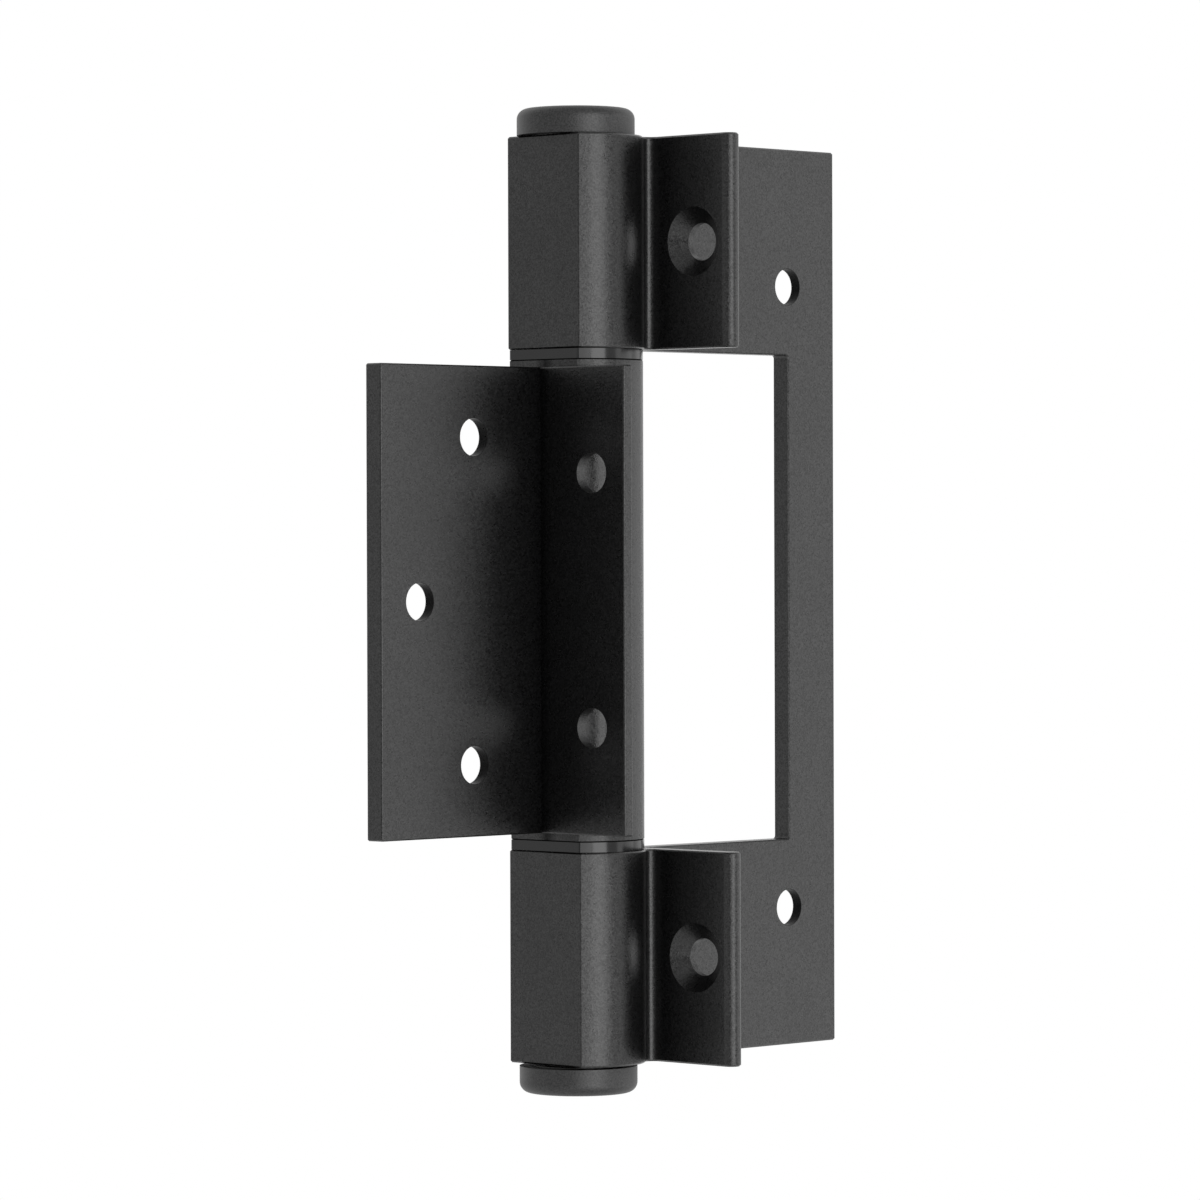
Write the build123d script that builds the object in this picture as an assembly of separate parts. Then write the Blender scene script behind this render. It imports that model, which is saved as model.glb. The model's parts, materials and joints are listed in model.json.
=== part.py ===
from build123d import *

import math
import os

os.makedirs("parts", exist_ok=True)

# Bifold door hinge, in millimetres, drawn with the door panels folded flat together.
# X runs along the rear leaf's plate, away from the barrel. Y points away from the door panels. Z is up.
# The pieces are drawn about the pin axis. The last step moves them all, so that the origin is the centre
# of the rear plate's two screw holes, on the face that lies on the door panel.

# Barrel, shared by both leaves
barrel_radius = 10.13
barrel_flat = 7.05               # pin axis to the flat on the front leaf's side
bore_radius = 5.0

# Plates of both leaves. They lie in one plane when the panels stand in line.
plate_thickness = 3.2
plate_centre_offset = 1.1        # pin axis to the middle of each plate
corner_round = 0.5               # in the corners of the window
arris_round = 0.3                # along the extrusion
end_chamfer = 0.25               # on the sawn ends of the rear leaf
cut_chamfer = 0.2                # on its window and the ends of the front leaf

# Rear leaf
rear_height = 138.0
rear_plate_reach = 54.75         # pin axis to the plate's free edge
rear_flange_distance = 8.6       # pin axis to the flange's near face
rear_flange_thickness = 3.0
rear_flange_reach = 23.1         # pin axis to the flange's rounded edge
window_height = 74.6             # also the gap between the outer knuckles
window_reach = 44.2              # pin axis to the far wall of the window
root_fillet = 1.0                # between the barrel and the flange
back_fillet = 1.5                # between the barrel and the back of the plate

# Front leaf
middle_knuckle_radius = 9.93
front_setback = 1.25             # middle knuckle's end to the end of its plate and flange
front_plate_reach = 41.05
front_flange_distance = 8.2      # pin axis to the flange's outer face
front_flange_thickness = 1.74
front_flange_reach = 17.55

# Screw holes, all for one size of countersunk screw, and plain holes in the front flange
screw_hole_radius = 2.8
countersink_angle = 100.0
plate_countersink_radius = 4.6
flange_countersink_radius = 5.15
rear_hole_from_edge = 10.7       # from the plate's free edge
rear_hole_from_window = 10.55
rear_flange_hole_distance = 15.8
front_hole_from_end = 10.5
front_plate_hole_distance = 22.2
front_plate_end_hole_distance = 33.3
plain_hole_radius = 3.0
plain_hole_distance = 10.9
plain_hole_spacing = 37.5

# Pin, bushes and caps
pin_radius = 4.0
pin_end_chamfer = 0.6
pin_end_play = 0.2               # pin end to each cap's spigot
running_clearance = 0.05         # pin to the bushes that turn on it
thrust_clearance = 0.08          # middle bush's flange to the outer knuckle
middle_bush_length = 22.0
bush_flange_thickness = 1.47
bush_flange_corner = 0.5
bush_setback = 0.5               # outer knuckle's inner end to its bush
bush_to_spigot = 1.2             # outer bush to the cap's spigot
cap_radius = 8.8
cap_height = 4.0                 # underside to crown
cap_shoulder = 1.6
cap_rim_gap = 0.15               # knuckle's end to the cap's rim, outside the seat
bottom_cap_proud = 0.3           # the lower cap isn't pressed fully home
cap_seat_radius = 6.6
cap_spigot_length = 5.0
cap_spigot_chamfer = 0.5

# Places that follow from the sizes
plate_half = plate_thickness / 2
rear_plate_front = -plate_centre_offset - plate_half
rear_plate_back = -plate_centre_offset + plate_half
front_plate_front = plate_centre_offset - plate_half
front_plate_back = plate_centre_offset + plate_half
rear_end = rear_height / 2
window_end = window_height / 2
middle_end = window_end - thrust_clearance - bush_flange_thickness
front_end = middle_end - front_setback
rear_flange_far = rear_flange_distance + rear_flange_thickness
front_flange_inner = front_flange_distance - front_flange_thickness
spigot_end = rear_end - cap_spigot_length
pin_end = spigot_end - pin_end_play
outer_bush_length = spigot_end - bush_to_spigot - window_end - bush_setback
rear_plate_hole_distance = rear_plate_reach - rear_hole_from_edge
rear_plate_hole_height = window_end + rear_hole_from_window
rear_flange_hole_height = (rear_end + window_end) / 2
front_plate_hole_height = front_end - front_hole_from_end


def rectangle(x0, x1, y0, y1):
    """A rectangle in plan between two corners."""
    return Pos((x0 + x1) / 2, (y0 + y1) / 2) * Rectangle(x1 - x0, y1 - y0)


def barrel_plan(radius):
    """The barrel's outline: round, with a flat on the front leaf's side."""
    return Circle(radius) & rectangle(-barrel_flat, radius, -radius, radius)


def rise(plan, height):
    """A plan raised equally above and below half height."""
    return Pos(0, 0, -height / 2) * extrude(plan, height)


def hole(point, direction, radius, length):
    """A round cutter that starts at a point and runs along a direction."""
    foot = (Align.CENTER, Align.CENTER, Align.MIN)
    return Plane(origin=point, z_dir=direction) * Cylinder(radius, length, align=foot)


def screw_hole(point, direction, head_radius, thickness):
    """A countersunk hole through a wall, from the head's face inwards."""
    foot = (Align.CENTER, Align.CENTER, Align.MIN)
    depth = (head_radius - screw_hole_radius) / math.tan(math.radians(countersink_angle / 2))
    sink = Plane(origin=point, z_dir=direction) * Cone(head_radius, screw_hole_radius, depth, align=foot)
    return sink + hole(point, direction, screw_hole_radius, thickness)


def upright_edges_near(shape, x, y, reach):
    """Upright edges whose middle lies within a reach of a place in plan."""
    upright = shape.edges().filter_by(Axis.Z)
    return upright.filter_by(lambda e: math.hypot(e.center().X - x, e.center().Y - y) < reach)


def end_edges(shape):
    """The outline of a shape's top and bottom faces."""
    ends = shape.faces().filter_by(Axis.Z)
    return ends.sort_by(Axis.Z)[-1].edges() + ends.sort_by(Axis.Z)[0].edges()


# Rear leaf: one extrusion, with the middle cut away to leave the two outer knuckles and the window.
nose_radius = rear_flange_thickness / 2
rear_plan = barrel_plan(barrel_radius)
rear_plan += rectangle(0, rear_plate_reach, rear_plate_front, rear_plate_back)
rear_plan += rectangle(rear_flange_distance, rear_flange_far, nose_radius - rear_flange_reach, rear_plate_front)
rear_plan += Pos(rear_flange_distance + nose_radius, nose_radius - rear_flange_reach) * Circle(nose_radius)
rear_leaf = rise(rear_plan, rear_height)

flange_root_y = -math.sqrt(barrel_radius**2 - rear_flange_distance**2)
plate_root_x = math.sqrt(barrel_radius**2 - rear_plate_back**2)
flat_end_y = math.sqrt(barrel_radius**2 - barrel_flat**2)
rear_leaf = fillet(upright_edges_near(rear_leaf, rear_flange_distance, flange_root_y, 0.01), root_fillet)
rear_leaf = fillet(upright_edges_near(rear_leaf, plate_root_x, rear_plate_back, 0.01), back_fillet)
free_edge = rear_leaf.faces().sort_by(Axis.X)[-1]
rear_leaf = fillet(free_edge.edges().filter_by(Axis.Z), arris_round)
flat_arrises = upright_edges_near(rear_leaf, -barrel_flat, flat_end_y, 0.01)
flat_arrises += upright_edges_near(rear_leaf, -barrel_flat, -flat_end_y, 0.01)
rear_leaf = fillet(flat_arrises, arris_round)

rear_leaf = chamfer(end_edges(rear_leaf), end_chamfer)

window = rectangle(-2 * barrel_radius, window_reach, -2 * rear_flange_reach, 2 * barrel_radius)
window = rise(window, window_height)
window_corners = window.faces().sort_by(Axis.X)[-1].edges().filter_by(Axis.Y)
rear_leaf -= fillet(window_corners, corner_round)
cut_faces = rear_leaf.faces().filter_by(Axis.Z).filter_by(lambda f: abs(f.center().Z) < window_end + 0.01)
rear_leaf = chamfer(cut_faces.edges(), cut_chamfer)
rear_leaf -= rise(Circle(bore_radius), rear_height)

for side in (-1, 1):
    plate_hole = (rear_plate_hole_distance, rear_plate_back, side * rear_plate_hole_height)
    rear_leaf -= screw_hole(plate_hole, (0, -1, 0), plate_countersink_radius, plate_thickness)
    flange_hole = (rear_flange_distance, -rear_flange_hole_distance, side * rear_flange_hole_height)
    rear_leaf -= screw_hole(flange_hole, (1, 0, 0), flange_countersink_radius, rear_flange_thickness)

# Front leaf: one extrusion, with its plate and flange cut a little shorter than its knuckle.
middle_plan = barrel_plan(middle_knuckle_radius)
front_plan = rectangle(-front_plate_reach, 0, front_plate_front, front_plate_back)
front_plan += rectangle(-front_flange_distance, -front_flange_inner, -front_flange_reach, front_plate_front)
front_leaf = rise(front_plan, 2 * front_end)
free_edge = front_leaf.faces().sort_by(Axis.X)[0]
front_leaf = fillet(free_edge.edges().filter_by(Axis.Z), arris_round)
flange_edge = front_leaf.faces().sort_by(Axis.Y)[0]
front_leaf = fillet(flange_edge.edges().filter_by(Axis.Z), arris_round)
front_leaf = chamfer(end_edges(front_leaf), cut_chamfer)
middle_knuckle = rise(middle_plan, 2 * middle_end)
front_leaf += chamfer(end_edges(middle_knuckle), cut_chamfer)
front_leaf -= rise(Circle(bore_radius), 2 * middle_end)

for side in (-1, 1):
    plate_hole = (-front_plate_hole_distance, front_plate_back, side * front_plate_hole_height)
    front_leaf -= screw_hole(plate_hole, (0, -1, 0), plate_countersink_radius, plate_thickness)
    plain_hole = (-front_flange_distance, -plain_hole_distance, side * plain_hole_spacing / 2)
    front_leaf -= hole(plain_hole, (1, 0, 0), plain_hole_radius, front_flange_thickness)
end_hole = (-front_plate_end_hole_distance, front_plate_back, 0)
front_leaf -= screw_hole(end_hole, (0, -1, 0), plate_countersink_radius, plate_thickness)

# Pin, held in the outer knuckles' bushes and kept in by the caps
hinge_pin = rise(Circle(pin_radius), 2 * pin_end)
hinge_pin = chamfer(hinge_pin.edges().filter_by(GeomType.CIRCLE), pin_end_chamfer)

# Bushes. The outer ones grip the pin, and the middle ones turn on it and carry the thrust on their flanges.
outer_bush = extrude(Circle(bore_radius) - Circle(pin_radius), outer_bush_length)
middle_bore = Circle(pin_radius + running_clearance)
middle_bush = extrude(Circle(bore_radius) - middle_bore, -middle_bush_length)
bush_flange = extrude(middle_plan - middle_bore, bush_flange_thickness)
flange_corners = bush_flange.edges().filter_by(Axis.Z).filter_by(lambda e: e.center().X < 0.01 - barrel_flat)
middle_bush += fillet(flange_corners, bush_flange_corner)

upper_knuckle_bush = Pos(0, 0, window_end + bush_setback) * outer_bush
lower_knuckle_bush = mirror(upper_knuckle_bush, Plane.XY)
middle_bush_upper = Pos(0, 0, middle_end) * middle_bush
middle_bush_lower = mirror(middle_bush_upper, Plane.XY)

# Caps: a crown that overhangs the barrel's flats, a seat on the knuckle's end and a spigot in the bore
rim_top = (cap_radius, cap_height - cap_shoulder)
crown_edge = (cap_radius - cap_shoulder, cap_height)
quarter_circle_pull = cap_shoulder * 4 / 3 * (math.sqrt(2) - 1)
rim_pull = (cap_radius, rim_top[1] + quarter_circle_pull)
crown_pull = (crown_edge[0] + quarter_circle_pull, cap_height)
shoulder = Bezier(rim_top, rim_pull, crown_pull, crown_edge)
crown_outline = shoulder + Polyline(crown_edge, (0, cap_height), (0, 0), (cap_radius, 0), rim_top)
crown = revolve(Plane.XZ * make_face(crown_outline), Axis.Z)
seat = extrude(Circle(cap_seat_radius), -cap_rim_gap)
spigot = extrude(Circle(bore_radius), -cap_rim_gap - cap_spigot_length)
spigot = chamfer(spigot.edges().sort_by(Axis.Z)[0], cap_spigot_chamfer)
top_cap = Pos(0, 0, rear_end + cap_rim_gap) * (crown + seat + spigot)
bottom_cap = Pos(0, 0, -bottom_cap_proud) * mirror(top_cap, Plane.XY)

pieces = {
    "rear_leaf": rear_leaf,
    "front_leaf": front_leaf,
    "hinge_pin": hinge_pin,
    "upper_knuckle_bush": upper_knuckle_bush,
    "lower_knuckle_bush": lower_knuckle_bush,
    "middle_bush_upper": middle_bush_upper,
    "middle_bush_lower": middle_bush_lower,
    "top_cap": top_cap,
    "bottom_cap": bottom_cap,
}
to_origin = Pos(-rear_plate_hole_distance, -rear_plate_front, 0)
for name, piece in pieces.items():
    export_step(to_origin * piece, f"parts/{name}.step")
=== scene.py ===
import bpy
import json
import math
from mathutils import Matrix, Vector


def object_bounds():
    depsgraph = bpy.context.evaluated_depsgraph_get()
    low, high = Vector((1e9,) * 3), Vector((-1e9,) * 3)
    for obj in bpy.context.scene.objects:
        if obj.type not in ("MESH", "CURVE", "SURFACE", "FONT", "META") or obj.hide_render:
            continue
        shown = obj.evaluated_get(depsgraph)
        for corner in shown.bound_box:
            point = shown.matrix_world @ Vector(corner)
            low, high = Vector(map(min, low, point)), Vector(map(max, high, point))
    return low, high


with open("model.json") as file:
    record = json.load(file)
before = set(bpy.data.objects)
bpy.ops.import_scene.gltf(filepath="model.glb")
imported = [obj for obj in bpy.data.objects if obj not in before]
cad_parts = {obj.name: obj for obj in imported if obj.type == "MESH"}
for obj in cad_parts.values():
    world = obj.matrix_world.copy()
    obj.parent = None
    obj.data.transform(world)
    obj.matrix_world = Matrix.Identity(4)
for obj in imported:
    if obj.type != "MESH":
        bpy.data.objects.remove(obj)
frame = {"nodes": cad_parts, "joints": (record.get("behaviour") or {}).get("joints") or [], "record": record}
cad_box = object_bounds()

# Rear leaf: the wide leaf is one aluminium extrusion, cut away in the middle and screwed to the first door
# panel. Its black satin powder coat bakes to an orange peel of single grains, greyer where it lies thick, in
# broad faint clouds. The walls of the plates' screw holes carry painted shade: the coat's gloss is turned
# down there.
coat_black = (0.0004, 0.0004, 0.00044, 1)
coat_grey = (0.004, 0.004, 0.0042, 1)
coat_roughness = (0.27, 0.39)
coat_gloss = (0.4, 0.75)
grains_per_metre = 5200
grain_relief = 0.5
grain_depth = 0.00003
peel_per_metre = 1500
peel_relief = 0.4
peel_depth = 0.00006
clouds_per_metre = 60
cloud_contrast = (0.3, 0.7)
cloud_share = (0.7, 1.0)
painted_hole_shade_gloss = 0.12
hole_radius = 0.0028
painted_hole_shade_edge_width = 0.0001
plates_plane = (1, 0, 1)


def start_finish(name):
    """Start a finish: its material, its node tree and its shader."""
    finish = bpy.data.materials.new(name)
    finish.use_nodes = True
    return finish, finish.node_tree, finish.node_tree.nodes["Principled BSDF"]


def add_place(tree):
    """The place on the piece, in metres."""
    return tree.nodes.new("ShaderNodeTexCoord").outputs["Object"]


def add_speckle(tree, place, per_metre, detail):
    """Soft random marks of one size over the piece."""
    speckle = tree.nodes.new("ShaderNodeTexNoise")
    speckle.inputs["Scale"].default_value = per_metre
    speckle.inputs["Detail"].default_value = detail
    tree.links.new(place, speckle.inputs["Vector"])
    return speckle.outputs["Fac"]


def add_range(tree, value, result, limits=(0, 1)):
    """A value that runs over the result's range while the given one runs between its limits."""
    span = tree.nodes.new("ShaderNodeMapRange")
    span.inputs["From Min"].default_value = limits[0]
    span.inputs["From Max"].default_value = limits[1]
    span.inputs["To Min"].default_value = result[0]
    span.inputs["To Max"].default_value = result[1]
    tree.links.new(value, span.inputs["Value"])
    return span.outputs["Result"]


def combine(tree, operation, first, second):
    """One value made from two."""
    step = tree.nodes.new("ShaderNodeMath")
    step.operation = operation
    tree.links.new(first, step.inputs[0])
    tree.links.new(second, step.inputs[1])
    return step.outputs[0]


def add_tone(tree, value, dark, light, limits=(0, 1)):
    """A colour that runs from dark to light while the value runs between its limits."""
    tone = tree.nodes.new("ShaderNodeValToRGB")
    for stop, colour, limit in zip(tone.color_ramp.elements, (dark, light), limits):
        stop.position = limit
        stop.color = colour
    tree.links.new(value, tone.inputs["Fac"])
    return tone.outputs["Color"]


def add_relief(tree, height, strength, depth):
    """Marks raised on the surface, at most a depth in metres."""
    relief = tree.nodes.new("ShaderNodeBump")
    relief.inputs["Strength"].default_value = strength
    relief.inputs["Distance"].default_value = depth
    tree.links.new(height, relief.inputs["Height"])
    return relief


def add_distance(tree, place, stretch, point):
    """The distance to a point, once every axis is stretched by its own factor."""
    stretched = tree.nodes.new("ShaderNodeVectorMath")
    stretched.operation = "MULTIPLY"
    stretched.inputs[1].default_value = stretch
    tree.links.new(place, stretched.inputs[0])
    distance = tree.nodes.new("ShaderNodeVectorMath")
    distance.operation = "DISTANCE"
    distance.inputs[1].default_value = [along * factor for along, factor in zip(point, stretch)]
    tree.links.new(stretched.outputs["Vector"], distance.inputs[0])
    return distance.outputs["Value"]


def dress(piece_names, finish):
    """Give pieces a finish in place of the CAD's plain colour."""
    for name in piece_names:
        for slot in frame["nodes"][name].material_slots:
            slot.link = "OBJECT"
            slot.material = finish


coat, tree, shader = start_finish("satin_powder_coat")
place = add_place(tree)
grains = tree.nodes.new("ShaderNodeTexVoronoi")
grains.inputs["Scale"].default_value = grains_per_metre
tree.links.new(place, grains.inputs["Vector"])
grain = tree.nodes.new("ShaderNodeSeparateColor")
tree.links.new(grains.outputs["Color"], grain.inputs["Color"])
clouds = add_speckle(tree, place, clouds_per_metre, detail=4)
drift = add_range(tree, clouds, cloud_share, cloud_contrast)
thickness = combine(tree, "MULTIPLY", grain.outputs["Red"], drift)
tree.links.new(add_tone(tree, thickness, coat_black, coat_grey), shader.inputs["Base Color"])
tree.links.new(add_range(tree, thickness, coat_roughness), shader.inputs["Roughness"])

# Painted shade in the plates' screw holes: the gloss is turned down within the holes' radius, to darken their
# walls.
mount_places = {mount["name"]: mount["pos_m"] for mount in frame["record"]["mounts"]}
hole_centres = [mount_places["front_plate_end_hole"]]
for mount in frame["record"]["mounts"]:
    if mount["name"] in ("rear_plate_holes", "front_plate_holes"):
        x, y, z = mount["pos_m"]
        half_spacing = mount["dims"]["spacing_y_mm"] / 1000 / 2
        hole_centres += [(x, y, z + half_spacing), (x, y, z - half_spacing)]
to_holes = [add_distance(tree, place, plates_plane, centre) for centre in hole_centres]
nearest_hole = to_holes[0]
for to_hole in to_holes[1:]:
    nearest_hole = combine(tree, "MINIMUM", nearest_hole, to_hole)
painted_hole_shade_limits = (hole_radius, hole_radius + painted_hole_shade_edge_width)
out_of_painted_hole_shade = add_range(tree, nearest_hole, (painted_hole_shade_gloss, 1), painted_hole_shade_limits)
full_gloss = add_range(tree, thickness, coat_gloss)
gloss_with_painted_shade = combine(tree, "MULTIPLY", full_gloss, out_of_painted_hole_shade)
tree.links.new(gloss_with_painted_shade, shader.inputs["Specular IOR Level"])

peel = add_speckle(tree, place, peel_per_metre, detail=3)
raised_peel = add_relief(tree, peel, peel_relief, peel_depth)
raised = add_relief(tree, grains.outputs["Distance"], grain_relief, grain_depth)
tree.links.new(raised_peel.outputs["Normal"], raised.inputs["Normal"])
tree.links.new(raised.outputs["Normal"], shader.inputs["Normal"])
dress(("rear_leaf",), coat)

# Front leaf: the shorter extrusion has the same coat and is screwed to the second door panel. The inner
# corner between its plate and its flange carries painted shade: the coat's gloss is turned down there to
# darken it. It has its full gloss again further along the plate, and sooner along the flange.
painted_corner_shade_gloss = 0.2
painted_corner_shade_reach = 0.012
flange_stretch = 6
inner_corner = (mount_places["front_flange_face"][0], mount_places["front_plate_face"][1], 0)

front_coat = coat.copy()
front_coat.name = "satin_powder_coat_front_painted_corner_shade"
tree = front_coat.node_tree
shader = tree.nodes["Principled BSDF"]
coat_gloss_so_far = shader.inputs["Specular IOR Level"].links[0].from_socket
# Painted shade: the gloss falls towards the inner corner, over a short reach along the plate and a shorter
# one along the flange.
to_corner = add_distance(tree, add_place(tree), (1, flange_stretch, 0), inner_corner)
out_of_painted_corner_shade = add_range(tree, to_corner, (painted_corner_shade_gloss, 1), (0, painted_corner_shade_reach))
gloss_with_painted_shade = combine(tree, "MULTIPLY", coat_gloss_so_far, out_of_painted_corner_shade)
tree.links.new(gloss_with_painted_shade, shader.inputs["Specular IOR Level"])
dress(("front_leaf",), front_coat)

# Bushes: black acetal, turned or moulded smooth and pressed into the knuckles. The flanges of the middle two
# show between the knuckles, and shine more than the coat.
acetal_black = (0.002, 0.002, 0.0022, 1)
acetal_grey = (0.005, 0.005, 0.0053, 1)
acetal_gloss = 0.5
acetal_roughness = (0.1, 0.2)
acetal_marks_per_metre = 1500
acetal_relief = 0.15
acetal_depth = 0.00002

acetal, tree, shader = start_finish("black_acetal")
shader.inputs["Specular IOR Level"].default_value = acetal_gloss
marks = add_speckle(tree, add_place(tree), acetal_marks_per_metre, detail=3)
tree.links.new(add_tone(tree, marks, acetal_black, acetal_grey), shader.inputs["Base Color"])
tree.links.new(add_range(tree, marks, acetal_roughness), shader.inputs["Roughness"])
raised = add_relief(tree, marks, acetal_relief, acetal_depth)
tree.links.new(raised.outputs["Normal"], shader.inputs["Normal"])
dress(("upper_knuckle_bush", "lower_knuckle_bush", "middle_bush_upper", "middle_bush_lower"), acetal)

# Pin: ground steel, with fine marks running round it. It goes through all three knuckles, and the caps over
# their ends keep it in and hide it.
steel_dark = (0.42, 0.42, 0.43, 1)
steel_light = (0.62, 0.62, 0.63, 1)
steel_roughness = (0.2, 0.4)
grinding_marks_per_metre = (60, 60, 5000)
steel_relief = 0.1
steel_depth = 0.00001

steel, tree, shader = start_finish("ground_steel")
shader.inputs["Metallic"].default_value = 1.0
round_the_pin = tree.nodes.new("ShaderNodeMapping")
round_the_pin.inputs["Scale"].default_value = grinding_marks_per_metre
tree.links.new(add_place(tree), round_the_pin.inputs["Vector"])
marks = add_speckle(tree, round_the_pin.outputs["Vector"], per_metre=1, detail=4)
tree.links.new(add_tone(tree, marks, steel_dark, steel_light), shader.inputs["Base Color"])
tree.links.new(add_range(tree, marks, steel_roughness), shader.inputs["Roughness"])
raised = add_relief(tree, marks, steel_relief, steel_depth)
tree.links.new(raised.outputs["Normal"], shader.inputs["Normal"])
dress(("hinge_pin",), steel)

# Caps: black plastic, moulded with a fine even grain, a little duller than the coat. Each cap's spigot is
# pressed into the end of the barrel.
cap_black = (0.0025, 0.0025, 0.0027, 1)
cap_grey = (0.006, 0.006, 0.0063, 1)
cap_tone_contrast = (0.35, 0.7)
cap_gloss = (0.45, 0.85)
cap_gloss_contrast = (0.3, 0.7)
cap_roughness = (0.4, 0.53)
cap_grains_per_metre = 4500
cap_relief = 0.3
cap_depth = 0.00003

cap_plastic, tree, shader = start_finish("moulded_cap")
grain = add_speckle(tree, add_place(tree), cap_grains_per_metre, detail=3)
tone = add_tone(tree, grain, cap_black, cap_grey, cap_tone_contrast)
tree.links.new(tone, shader.inputs["Base Color"])
tree.links.new(add_range(tree, grain, cap_roughness), shader.inputs["Roughness"])
tree.links.new(add_range(tree, grain, cap_gloss, cap_gloss_contrast), shader.inputs["Specular IOR Level"])
raised = add_relief(tree, grain, cap_relief, cap_depth)
tree.links.new(raised.outputs["Normal"], shader.inputs["Normal"])
dress(("top_cap", "bottom_cap"), cap_plastic)

# Floor: a plain pale sheet, well below the hinge, which its screws would hold and which stands on nothing.
# The camera, gloss and glass see the sheet as white.
floor_drop = 0.45
floor_size = 6
floor_colour = (0.9, 0.9, 0.9, 1)
floor_roughness = 0.7
white = (1, 1, 1, 1)

floor_paint, tree, shader = start_finish("pale_floor")
shader.inputs["Base Color"].default_value = floor_colour
shader.inputs["Roughness"].default_value = floor_roughness
rays = tree.nodes.new("ShaderNodeLightPath")
mirrored = combine(tree, "MAXIMUM", rays.outputs["Is Glossy Ray"], rays.outputs["Is Transmission Ray"])
glow = tree.nodes.new("ShaderNodeEmission")
glow.inputs["Color"].default_value = white
glow.inputs["Strength"].default_value = 1.0
mix = tree.nodes.new("ShaderNodeMixShader")
tree.links.new(combine(tree, "MAXIMUM", rays.outputs["Is Camera Ray"], mirrored), mix.inputs["Fac"])
tree.links.new(shader.outputs["BSDF"], mix.inputs[1])
tree.links.new(glow.outputs["Emission"], mix.inputs[2])
tree.links.new(mix.outputs["Shader"], tree.nodes["Material Output"].inputs["Surface"])
bpy.ops.object.select_all(action="DESELECT")
bpy.ops.mesh.primitive_plane_add(size=floor_size, location=(0, 0, cad_box[0][2] - floor_drop))
floor = bpy.context.object
floor.name = "floor"
floor.data.materials.append(floor_paint)

# Studio: walls that are white behind the hinge, grey at the sides and dark behind the camera, and three soft
# boxes in front of them. One stands beside the camera, the key light further right, and a broad weak one at
# the far right.
view_turn = math.radians(46.19)
barrel = Vector(frame["joints"][0]["pos_m"])
ahead = Vector((math.sin(view_turn), math.cos(view_turn), 0))
right = Vector((math.cos(view_turn), -math.sin(view_turn), 0))
wall_light = 1.2
# Where along the walls, from 0 straight behind the hinge to 1 straight behind the camera, and how bright
walls = ((0.15, 1.0), (0.45, 0.61), (0.955, 0.61), (0.99, 0.06))
back_wall_end = walls[0][0]

studio = bpy.data.worlds.new("studio")
bpy.context.scene.world = studio
studio.use_nodes = True
tree = studio.node_tree
white_wall = tree.nodes["Background"]
white_wall.inputs["Color"].default_value = white
white_wall.inputs["Strength"].default_value = 1.0
direction = tree.nodes.new("ShaderNodeTexCoord")
facing = tree.nodes.new("ShaderNodeVectorMath")
facing.operation = "DOT_PRODUCT"
facing.inputs[1].default_value = -ahead
tree.links.new(direction.outputs["Generated"], facing.inputs[0])
along_walls = add_range(tree, facing.outputs["Value"], (0, 1), (-1, 1))
wall_shades = tree.nodes.new("ShaderNodeValToRGB")
stops = wall_shades.color_ramp.elements
stops.remove(stops[0])
for position, brightness in walls:
    stops.new(position).color = (brightness, brightness, brightness, 1)
stops.remove(stops[-1])
tree.links.new(along_walls, wall_shades.inputs["Fac"])
lit_walls = tree.nodes.new("ShaderNodeBackground")
lit_walls.inputs["Strength"].default_value = wall_light
tree.links.new(wall_shades.outputs["Color"], lit_walls.inputs["Color"])

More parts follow.
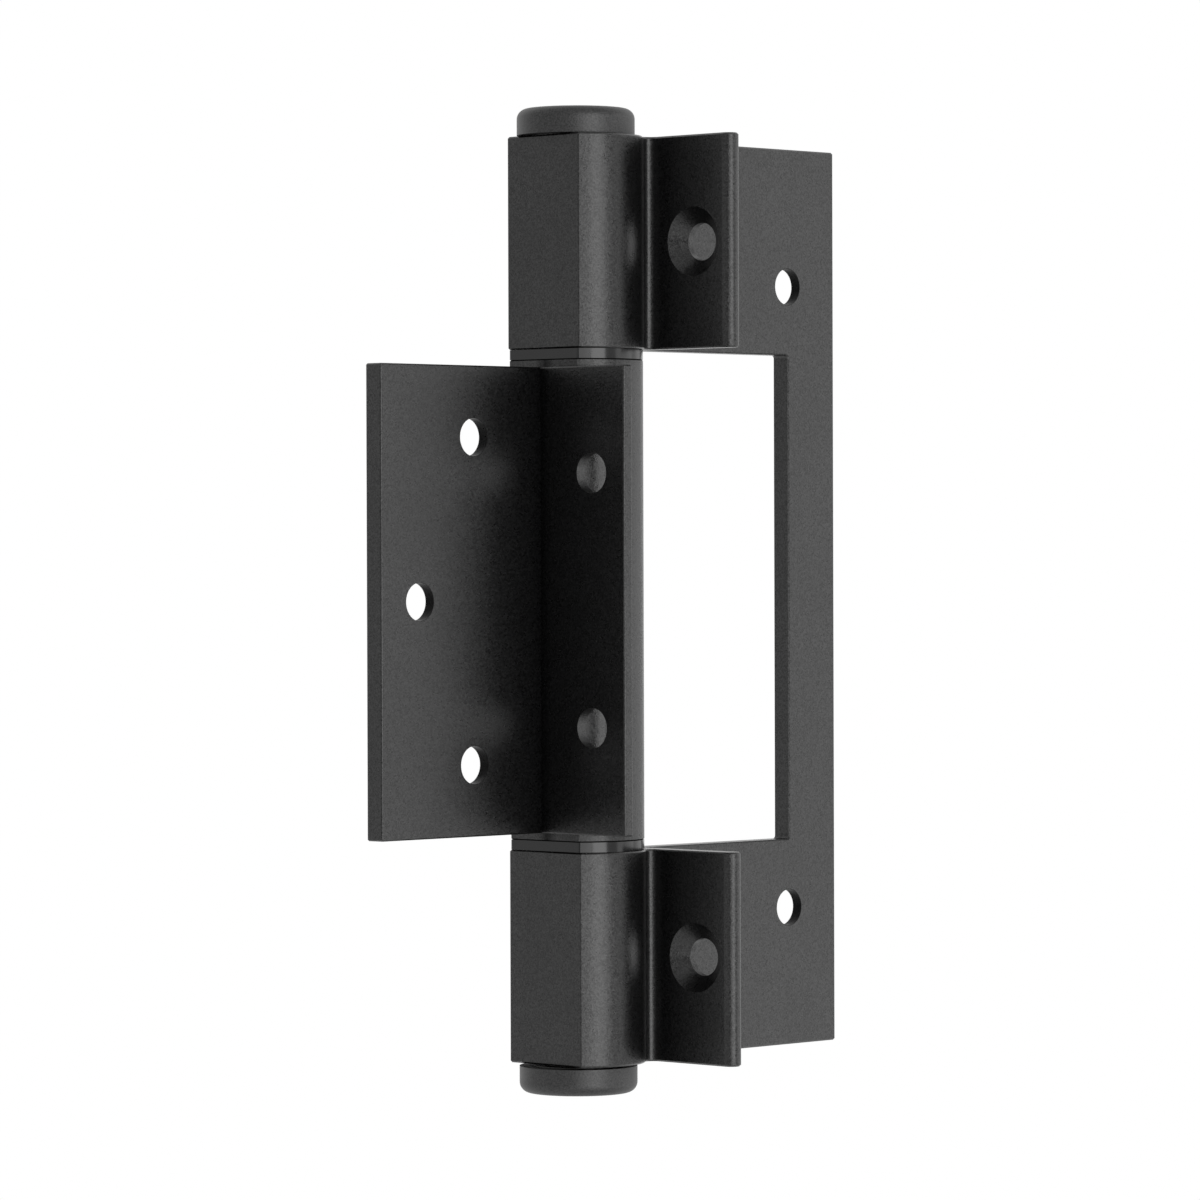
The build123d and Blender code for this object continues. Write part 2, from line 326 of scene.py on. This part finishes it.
rays = tree.nodes.new("ShaderNodeLightPath")
behind = tree.nodes.new("ShaderNodeMath")
behind.operation = "LESS_THAN"
behind.inputs[1].default_value = back_wall_end
tree.links.new(along_walls, behind.inputs[0])
mirrored = combine(tree, "MAXIMUM", rays.outputs["Is Glossy Ray"], rays.outputs["Is Transmission Ray"])
mirrored = combine(tree, "MULTIPLY", mirrored, behind.outputs[0])
mix = tree.nodes.new("ShaderNodeMixShader")
tree.links.new(combine(tree, "MAXIMUM", rays.outputs["Is Camera Ray"], mirrored), mix.inputs["Fac"])
tree.links.new(lit_walls.outputs["Background"], mix.inputs[1])
tree.links.new(white_wall.outputs["Background"], mix.inputs[2])
tree.links.new(mix.outputs["Shader"], tree.nodes["World Output"].inputs["Surface"])

box_distance = 1.1
box_height = 1.2
# Name, degrees to the right of the camera as seen from the barrel, width and brightness
soft_boxes = (
    ("light_front", 13, 0.42, 1.9),
    ("light_key", 38, 0.5, 3.1),
    ("light_right", 92, 0.8, 0.85),
)
for name, bearing, width, brightness in soft_boxes:
    light = bpy.data.lights.new(name, "AREA")
    light.shape = "RECTANGLE"
    light.size = width
    light.size_y = box_height
    light.energy = brightness * math.pi * width * box_height
    lamp = bpy.data.objects.new(name, light)
    bpy.context.scene.collection.objects.link(lamp)
    away = right * math.sin(math.radians(bearing)) - ahead * math.cos(math.radians(bearing))
    lamp.location = barrel + away * box_distance
    lamp.rotation_euler = (-away).to_track_quat("-Z", "Y").to_euler()

# Camera: a long lens, level with the hinge's middle and to the left in front of it, as for the photograph. It
# is tipped down and rolled very slightly.
tip = math.radians(0.568)
roll = math.radians(0.175)
lens_in_pixels = 5817.2
picture_width = 1200
sensor_width = 36
nearest_sight = 0.05
eye_back = 0.86755
eye_right = 0.003407
eye_up = 0.008554

up = Vector((0, 0, 1))
eye = barrel - ahead * eye_back + right * eye_right + up * eye_up
look = ahead * math.cos(tip) - up * math.sin(tip)
top = ahead * math.sin(tip) + up * math.cos(tip)
side = (right - top * math.sin(roll)).normalized()
top = (top + right * math.sin(roll)).normalized()
view = bpy.data.cameras.new("camera")
view.sensor_width = sensor_width
view.lens = sensor_width * lens_in_pixels / picture_width
view.clip_start = nearest_sight
camera = bpy.data.objects.new("camera", view)
bpy.context.scene.collection.objects.link(camera)
camera.matrix_world = Matrix.Translation(eye) @ Matrix((side, top, -look)).transposed().to_4x4()
bpy.context.scene.camera = camera
bpy.context.scene.view_settings.view_transform = "Standard"
